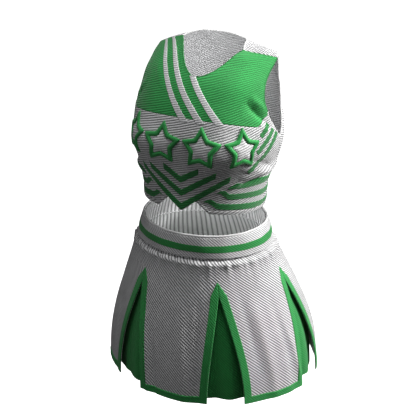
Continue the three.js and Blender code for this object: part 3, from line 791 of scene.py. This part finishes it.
def armStripe(index, side):
    p, q, r = (np.array([a * perDegree, b]) for a, b in armStripes["courses"][index])

    def outline(s, t):
        s3, t3 = s[..., None], (t - 0.5) * armStripes["width"]
        spot = (1 - s3) ** 2 * p + 2 * s3 * (1 - s3) * q + s3 ** 2 * r
        along = unit(2 * (1 - s3) * (q - p) + 2 * s3 * (r - q))
        spot = spot + np.stack([-along[..., 1], along[..., 0]], -1) * t3[..., None]
        return side * spot[..., 0] / perDegree, spot[..., 1]
    length = np.linalg.norm(q - p) + np.linalg.norm(r - q)
    word = "left" if side > 0 else "right"
    piece = clothPiece(f"armStripe_{word}_{index + 1}", outline, putShell, length, armStripes["width"],
                       clothThick - 0.6, clothThick + 0.7, [made["stripeGreen"]], shellWeave, step=2.4, rim=0.9)
    return fasten(piece, "shell", "green_trim", [f"arm_stripe_{word}_{index + 1}"], "sheet", "laid")


star = {"count": 4, "pitch": 76, "radius": 39.5, "waist": 0.56, "stretch": 1.17, "border": 16,
        "level": 541, "dome": 3.8}


# The star's outline as a closed run of points, its corners rounded by averaging.
def starOutline(radius, count=120):
    k = np.arange(11)
    reach = np.where(k % 2, radius * star["waist"], radius)
    x, y = reach * np.sin(k * np.pi / 5), reach * star["stretch"] * np.cos(k * np.pi / 5)
    at = np.linspace(0, 10, count, endpoint=False)
    line = np.stack([np.interp(at, k, x), np.interp(at, k, y)], -1)
    for _ in range(3):
        line = 0.25 * np.roll(line, 1, 0) + 0.5 * line + 0.25 * np.roll(line, -1, 0)
    return line


def starBorder(index):
    outer, window = starOutline(star["radius"]), starOutline(star["radius"] - star["border"])
    middle = (index - (star["count"] - 1) / 2) * star["pitch"] / perDegree
    count = len(outer)

    def outline(s, t):
        k = np.round(s * count).astype(int) % count
        spot = outer[k] + (window[k] - outer[k]) * t[..., None]
        return middle + spot[..., 0] / perDegree, star["level"] + spot[..., 1]

    def dome(s, t, near):
        return star["dome"] * np.sqrt(np.clip(1 - (2 * t - 1) ** 2, 0, 1))
    piece = clothPiece(f"starBorder_{index + 1}", outline, putShell, 120, 6, clothThick - 0.8, clothThick + 0.3,
                       [made["raisedGreen"]], shellWeave, closed=True, step=1.0, rim=0.5, swell=dome)
    return fasten(piece, "shell", "green_trim", [f"star_border_{index + 1}"], "padded")


def starFill(index):
    edge = starOutline(star["radius"] - star["border"] + 1.2)
    middle = (index - (star["count"] - 1) / 2) * star["pitch"] / perDegree
    count = len(edge)

    def outline(s, t):
        k = np.round(s * count).astype(int) % count
        spot = edge[k] * (1 - 0.985 * t[..., None])
        return middle + spot[..., 0] / perDegree, star["level"] + spot[..., 1]

    def puffed(s, t, near):
        return 1.8 * (1 - (1 - t) ** 3)
    piece = clothPiece(f"starFill_{index + 1}", outline, putShell, 120, 24, clothThick - 0.8, clothThick + 0.9,
                       [made["starWhite"]], shellWeave, closed=True, step=1.5, rim=0.8, rims="b", swell=puffed)
    return fasten(piece, "shell", "white_knit", [f"star_fill_{index + 1}"], "padded")


def joinedLine(parts):
    points = np.concatenate([p for p, n in parts])
    normals = np.concatenate([n for p, n in parts])
    far = np.concatenate([[0], np.cumsum(np.linalg.norm(np.diff(points, axis=0), axis=1))])
    keep = np.concatenate([[True], np.diff(far) > 0.05])
    points, normals, far = points[keep], normals[keep], far[keep]
    at = np.arange(0, far[-1], 2.4)
    points = np.stack([np.interp(at, far, points[:, k]) for k in range(3)], -1)
    normals = unit(np.stack([np.interp(at, far, normals[:, k]) for k in range(3)], -1))
    for _ in range(3):
        points[1:-1] = (points[:-2] + 2 * points[1:-1] + points[2:]) / 4
    return points, normals


def neckEdge():
    t = np.linspace(0, 1, 60)

    def frontHalf(curve, side):
        level = neck["front"] + (float(seamLevel(side)) - neck["front"]) * t ** curve
        return edgeLine(putShell, side * t * neck["halfAngle"], level, 1)
    across = np.linspace(scoop, -scoop, 90)
    climb = backEdge(across)
    left, right = frontHalf(neck["leftCurve"], 1), frontHalf(neck["rightCurve"], -1)
    back = edgeLine(putBack, across * backSide(climb, across), climb, 1)
    points, normals = joinedLine([left, back, (right[0][::-1], right[1][::-1])])
    shoulders = [left[0][-1][1], right[0][-1][1]]
    piece = rolledEdge("neckEdge", points, normals, 1.5, 1.5, [made["pipingWhite"], made["edgeGreen"]],
                       faceSlot=lambda k: 1 if points[k, 1] < shoulders[int(points[k, 0] < 0)] else 0)
    return fasten(piece, "shell", "binding", ["neck_binding"])


def armholeEdge(side):
    t = np.linspace(0, 1, 60)
    word = "left" if side > 0 else "right"

    def low(widest, put):
        level = armhole["middle"] - (armhole["middle"] - armhole["bottom"]) * np.cos(t * np.pi / 2)
        return edgeLine(put, side * (90 - widest * np.sin(t * np.pi / 2) ** 2), level, 1)

    def high(put, reach, top):
        level = armhole["middle"] + (top - armhole["middle"]) * t
        return edgeLine(put, side * reach(level, side), level, 1)
    frontParts = [low(armhole["frontHalf"], putShell), high(putShell, frontSide, float(seamLevel(side)))]
    backParts = [low(armhole["backHalf"], putBack), high(putBack, backSide, float(backTop(side)))]
    backParts = [(p[::-1], n[::-1]) for p, n in backParts[::-1]]
    points, normals = joinedLine(frontParts + backParts)
    shoulder = frontParts[1][0][-1]
    frontEnd = np.argmin(np.linalg.norm(points - shoulder, axis=1))
    greenFrom = 604                  # the yoke's lower corner
    piece = rolledEdge(f"armholeEdge_{word}", points, normals, 1.5, 1.5,
                       [made["pipingWhite"], made["edgeGreen"]],
                       faceSlot=lambda k: 1 if k < frontEnd and points[k, 2] > greenFrom else 0)
    return fasten(piece, "shell", "binding", [f"armhole_binding_{word}"])


shellPieces = [shellFront(), shellBack(), frontYoke(-1), frontYoke(1)]
print("shell cloth made")
shellPieces += [braid(i) for i in range(3)] + [chevronBand(i) for i in range(3)] + [waistBand(i) for i in range(3)]
shellPieces += [armStripe(i, side) for i in range(3) for side in (1, -1)]
shellPieces += [make(i) for i in range(star["count"]) for make in (starBorder, starFill)]
shellPieces += [neckEdge(), armholeEdge(1), armholeEdge(-1)]
print("shell stripes, stars and edges made:", len(shellPieces))


waistband = {"thick": 2.5, "piping": 3.2, "stripeDrop": 20, "stripe": 15}
bandTop = skirtShape["length"] - waistband["piping"]
hemRise = 6


# Millimetres along the cloth for each degree, so that the ribs keep their pitch as it flares.
def skirtPerDegree(z):
    wide, deep, _ = skirtRing(np.minimum(z, pleatTop))
    return np.radians((wide + deep) / 2)


def skirtWeave(angle, z):
    middle = pleatMiddle(angle)
    return middle * 2.575 + (angle - middle) * skirtPerDegree(z), z


def bandWeave(angle, z):
    return angle * 2.3, z


def flatRelief(angle, z):
    return 0.35 * np.sin(np.radians(angle) * 7 + z / 9) + 0.25 * np.sin(np.radians(angle) * 19 + 1)


def putBand(angle, z, offset):
    return putSkirt(angle, z, offset, flatRelief)


def band(name, node, low, high, inner, outer, materials, slotName, rims="bt", swell=None, kind="sheet", held="stretched",
         weave=bandWeave, put=putBand, step=3.0, rim=1.2):
    def outline(s, t):
        return -180 + 360 * s, low + (high - low) * t
    piece = clothPiece(name, outline, put, 800, high - low, inner, outer, materials, weave, closed=True,
                       step=step, rim=rim, rims=rims, swell=swell)
    return fasten(piece, "skirt_waist", slotName, [node], kind, held)


def crowned(s, t, near):
    return 1.6 * np.sin(np.pi * t) ** 0.5


def waistbandCloth():
    return band("waistbandCloth", "waistband", footZ, bandTop, 0, waistband["thick"],
                [made["bandWhite"], made["facingWhite"]], "white_knit", swell=crowned)


def waistStripeBand():
    high = skirtShape["length"] - waistband["stripeDrop"]
    return band("waistbandStripe", "waistband_stripe", high - waistband["stripe"], high, waistband["thick"] - 0.6,
                waistband["thick"] + 1.9, [made["bandGreen"]], "green_trim", held="laid")


def waistPiping():
    angle = np.linspace(-180, 180, 260, endpoint=False)
    points, normals = edgeLine(putBand, angle, skirtShape["length"] - 1.8, 0.6)
    piece = rolledEdge("waistPiping", points, normals, 2.1, 2.4, [made["pipingWhite"]], sides=12)
    return fasten(piece, "skirt_waist", "binding", ["waistband_piping"])


def waistElastic():
    low = footZ + (skirtShape["band"] - 36) / 2
    return band("waistElastic", "waist_elastic", low, low + 36, -2.1, -0.3, [made["elasticWhite"]], "elastic")


# The facing inside the waist has real upright ribs on the side that shows, and it hangs
# straighter than the skirt.
facing = {"drop": 130, "lean": 0.15}


def waistFacing():
    pitch = 9.5

    def put(angle, z, offset):
        inside = np.asarray(offset) < -3
        rib = 1.3 * np.abs(np.sin(np.pi * angle * 2.3 / pitch)) ** 0.6
        hang = facing["lean"] * np.clip(footZ - z, 0, None)
        return putBand(angle, z, np.where(inside, offset - rib + 0.8, offset) - hang)

    def weave(angle, z):
        return angle * 2.3, z
    return band("waistFacingCloth", "waist_facing", skirtShape["length"] - facing["drop"], bandTop, -3.9, -2.4,
                [made["facingWhite"]], "binding", put=put, weave=weave, step=1.2, rim=0.8)


def hipYoke():
    return band("hipYokeCloth", "yoke", pleatTop, footZ, 0, clothThick, [made["skirtWhite"], made["facingWhite"]],
                "white_skirt", rims="t", held="gathered", weave=skirtWeave, put=putSkirt, step=2.6)


pleats = {"count": 6, "insertHalf": 10, "openingDrop": 29, "trim": 16, "underlay": 17, "top": 4, "hem": 12,
          "insertDrop": 4}
openingTop = pleatTop - pleats["openingDrop"]


def panelHalf(z):
    drop = np.clip((openingTop - z) / openingTop, 0, 1)
    return 30 - pleats["insertHalf"] * (1 - (1 - drop) ** 1.7)


def panelCloth(index):
    middle = index * 60

    def outline(s, t):
        z = pleatTop * (1 - t)
        return middle + panelHalf(z) * (2 * s - 1), z

    def weave(angle, z):
        return middle * 2.575 + (angle - middle) * skirtPerDegree(z), z
    piece = clothPiece(f"panelCloth_{index + 1}", outline, putSkirt, 165, pleatTop, 0, clothThick,
                       [made["skirtWhite"], made["liningWhite"]], weave, step=3.4, rims="lrt")
    fasten(piece, None, "white_skirt", [f"panel_{index + 1}"], "sheet", "hung")
    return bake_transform(piece)


def trimWidthAt(z):
    return pleats["trim"] * np.clip((pleatTop - z) / pleats["openingDrop"], 0, 1)


# One length of trim, down one side, along the hem and up the other side, mitred at the corners.
def panelTrim(index):
    middle = index * 60
    top = pleatTop - 1
    sideLength, hemLength = top, 165

    def outline(s, t):
        total = 2 * sideLength + hemLength
        at = s * total
        down = np.clip(at / sideLength, 0, 1)
        along = np.clip((at - sideLength) / hemLength, 0, 1)
        up = np.clip((at - sideLength - hemLength) / sideLength, 0, 1)
        foot = pleats["trim"] * t
        z = np.where(at < sideLength, top + (foot - top) * down, np.where(up > 0, foot + (top - foot) * up, foot))
        half = panelHalf(z) - trimWidthAt(z) * t / skirtPerDegree(z)
        side = np.where(at <= sideLength, -1, np.where(up > 0, 1, 2 * along - 1))
        return middle + half * side, z

    def weave(angle, z):
        return middle * 2.575 + (angle - middle) * skirtPerDegree(z), z
    piece = clothPiece(f"panelTrim_{index + 1}", outline, putSkirt, 2 * sideLength + hemLength, pleats["trim"],
                       clothThick - 0.6, clothThick + 1.0, [made["trimGreen"]], weave, step=3.2, rim=1.1)
    fasten(piece, None, "green_trim", [f"panel_trim_{index + 1}"], "sheet", "laid")
    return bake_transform(piece)


def insertCloth(index):
    middle = 30 + index * 60
    half = pleats["insertHalf"] + pleats["underlay"]
    top = pleatTop - pleats["insertDrop"]

    def relief(angle, z):
        fall = np.clip((pleatTop - z) / pleatTop, 0, 1)
        depth = pleats["top"] + (pleats["hem"] - pleats["top"]) * np.sqrt(fall)
        across = angle - middle
        bulge = 6.0 * fall * np.exp(-((across - 2.5) / 5.2) ** 2) - 2.5 * fall * np.exp(-((across + 6) / 2.6) ** 2)
        sway = 0.8 * fall * np.sin(across / 2.1 + index)
        return bulge + sway - depth

    def put(angle, z, offset):
        return putSkirt(angle, z, offset, relief)

    def outline(s, t):
        return middle + half * (2 * s - 1), top + (hemRise - top) * t

    def weave(angle, z):
        return (angle - middle) * skirtPerDegree(z) + 31 * index, z
    piece = clothPiece(f"insertCloth_{index + 1}", outline, put, 200, top, -clothThick, 0,
                       [made["insertGreen"], made["insertGreen"]], weave, step=3.6)
    fasten(piece, None, "green_knit", [f"insert_{index + 1}"], "sheet", "folded")
    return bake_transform(piece)


skirtPieces = [waistbandCloth(), waistStripeBand(), waistPiping(), waistElastic(), waistFacing(), hipYoke()]
print("waistband and hip yoke made")
skirtPieces += [make(i) for i in range(pleats["count"]) for make in (panelCloth, panelTrim, insertCloth)]
print("pleats made:", len(skirtPieces))


stitching = {"inset": 2.2, "hemInset": 6.4}


def shellStitches():
    lift = clothThick + 0.45
    angle = np.linspace(-90, 90, 240)
    lines = [edgeLine(putShell, angle, hemLevel(angle) + stitching["hemInset"], lift),
             edgeLine(putBack, angle[::-1], 390 + stitching["hemInset"] + 0 * angle, lift)]
    piece = stitchRow("shellStitches", lines, [made["threadWhite"]])
    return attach(piece, "shell")


def yokeStitches():
    lift = clothThick + 0.2
    lines = []
    for side, inner in ((1, 29), (-1, 6)):
        angle = side * np.linspace(inner, 70, 110)
        lines.append(edgeLine(putShell, angle, yokeLevel(angle) + stitching["inset"], lift))
        level = np.linspace(612, 736, 110)
        lines.append(edgeLine(putShell, side * (frontSide(level, side) - 1.4), level, lift))
    piece = stitchRow("yokeStitches", lines, [made["threadGreen"]])
    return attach(piece, "shell")


def bandStitches():
    angle = np.linspace(-180, 180, 420)
    lift = waistband["thick"] + 0.7
    lines = [edgeLine(putBand, angle, z, lift) for z in (bandTop - 3.2, footZ + 3.4)]
    piece = stitchRow("bandStitches", lines, [made["threadWhite"]])
    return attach(piece, "skirt_waist")


def trimStitches(index):
    middle = index * 60
    lift = clothThick + 1.15
    lines = []
    for side in (-1, 1):
        z = np.linspace(openingTop - 6, pleats["trim"] + 1, 130)
        for inset in (pleats["trim"] - stitching["inset"], stitching["inset"]):
            half = panelHalf(z) - inset / skirtPerDegree(z)
            lines.append(edgeLine(putSkirt, middle + side * half, z, lift))
    for inset in (pleats["trim"] - stitching["inset"], stitching["inset"]):
        half = panelHalf(np.array(0.0)) - inset / skirtPerDegree(np.array(0.0))
        angle = middle + np.linspace(-half, half, 90)
        lines.append(edgeLine(putSkirt, angle, inset, lift))
    piece = stitchRow(f"trimStitches_{index + 1}", lines, [made["threadGreen"]], length=2.6, space=2.0)
    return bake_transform(piece)


stitches = [shellStitches(), yokeStitches(), bandStitches()]
stitches += [trimStitches(i) for i in range(pleats["count"])]
print("stitching made:", len(stitches))


studio = {
    "floorZ": -0.62, "floorSize": 14,
    "key": {"at": (2.1, 0.75, 1.75), "size": 0.7, "power": 104, "colour": (1.0, 0.995, 0.985)},
    "top": {"at": (0.35, -0.3, 2.5), "size": 0.8, "power": 27, "colour": (1, 1, 1)},
    "fill": {"at": (-1.6, -2.2, 0.9), "size": 1.8, "power": 7, "colour": (0.97, 0.98, 1.0)},
    "neckGlow": {"at": (-0.03, -0.075, 0.61), "to": (-0.06, 0.06, 0.68), "size": 0.05, "power": 0.14,
                 "colour": (1, 1, 1)},
    "waistGlow": {"at": (0, -0.10, 0.33), "to": (0, 0.08, 0.29), "size": 0.1, "power": 0.18,
                  "colour": (1, 1, 1)},
    "ambient": 0.055,
}
camera = {"azimuth": 25.79, "elevation": 24.12, "distance": 3.027, "lens": 127,
          "target": (0, -0.041, 0.370), "right": 0.0096, "up": -0.010}


def paleFloor():
    bpy.ops.mesh.primitive_grid_add(x_subdivisions=2, y_subdivisions=2, size=studio["floorSize"],
                                    location=(0, 0, studio["floorZ"]))
    floor = bpy.context.object
    floor.name = "paleFloor"
    material = bpy.data.materials.new("floorPaint")
    material.use_nodes = True
    shader = material.node_tree.nodes["Principled BSDF"]
    shader.inputs["Base Color"].default_value = (0.9, 0.9, 0.9, 1)
    shader.inputs["Roughness"].default_value = 0.9
    shader.inputs["Emission Color"].default_value = (1, 1, 1, 1)
    shader.inputs["Emission Strength"].default_value = 1.0
    floor.data.materials.append(material)
    floor.visible_diffuse = False
    floor.visible_glossy = False


def softLight(name, facts):
    light = bpy.data.lights.new(name, "AREA")
    light.size = facts["size"]
    light.energy = facts["power"]
    light.color = facts["colour"]
    lamp = bpy.data.objects.new(name, light)
    lamp.location = facts["at"]
    aim = Vector(facts.get("to", camera["target"])) - lamp.location
    lamp.rotation_euler = aim.to_track_quat("-Z", "Y").to_euler()
    lamp.visible_camera = False
    bpy.context.scene.collection.objects.link(lamp)


def whiteWorld():
    world = bpy.data.worlds.new("whiteRoom")
    bpy.context.scene.world = world
    world.use_nodes = True
    nodes, links = world.node_tree.nodes, world.node_tree.links
    background = nodes["Background"]
    path = nodes.new("ShaderNodeLightPath")
    amount = nodes.new("ShaderNodeMapRange")
    amount.inputs["To Min"].default_value = studio["ambient"]
    amount.inputs["To Max"].default_value = 1.0
    links.new(path.outputs["Is Camera Ray"], amount.inputs["Value"])
    links.new(amount.outputs[0], background.inputs["Strength"])
    background.inputs["Color"].default_value = (1, 1, 1, 1)


def placeCamera():
    a, e = np.radians(camera["azimuth"]), np.radians(camera["elevation"])
    back = Vector((np.sin(a) * np.cos(e), -np.cos(a) * np.cos(e), np.sin(e)))
    right = Vector((np.cos(a), np.sin(a), 0))
    up = back.cross(right)
    data = bpy.data.cameras.new("view")
    data.lens = camera["lens"]
    data.sensor_width = 36
    data.clip_end = 60
    seer = bpy.data.objects.new("view", data)
    bpy.context.scene.collection.objects.link(seer)
    target = Vector(camera["target"]) + right * camera["right"] + up * camera["up"]
    seer.location = target + back * camera["distance"]
    seer.rotation_euler = back.to_track_quat("Z", "Y").to_euler()
    bpy.context.scene.camera = seer


paleFloor()
for lightName in ("key", "top", "fill", "neckGlow", "waistGlow"):
    softLight(lightName, studio[lightName])
whiteWorld()
placeCamera()
bpy.context.scene.view_settings.view_transform = "Standard"
print("studio ready")
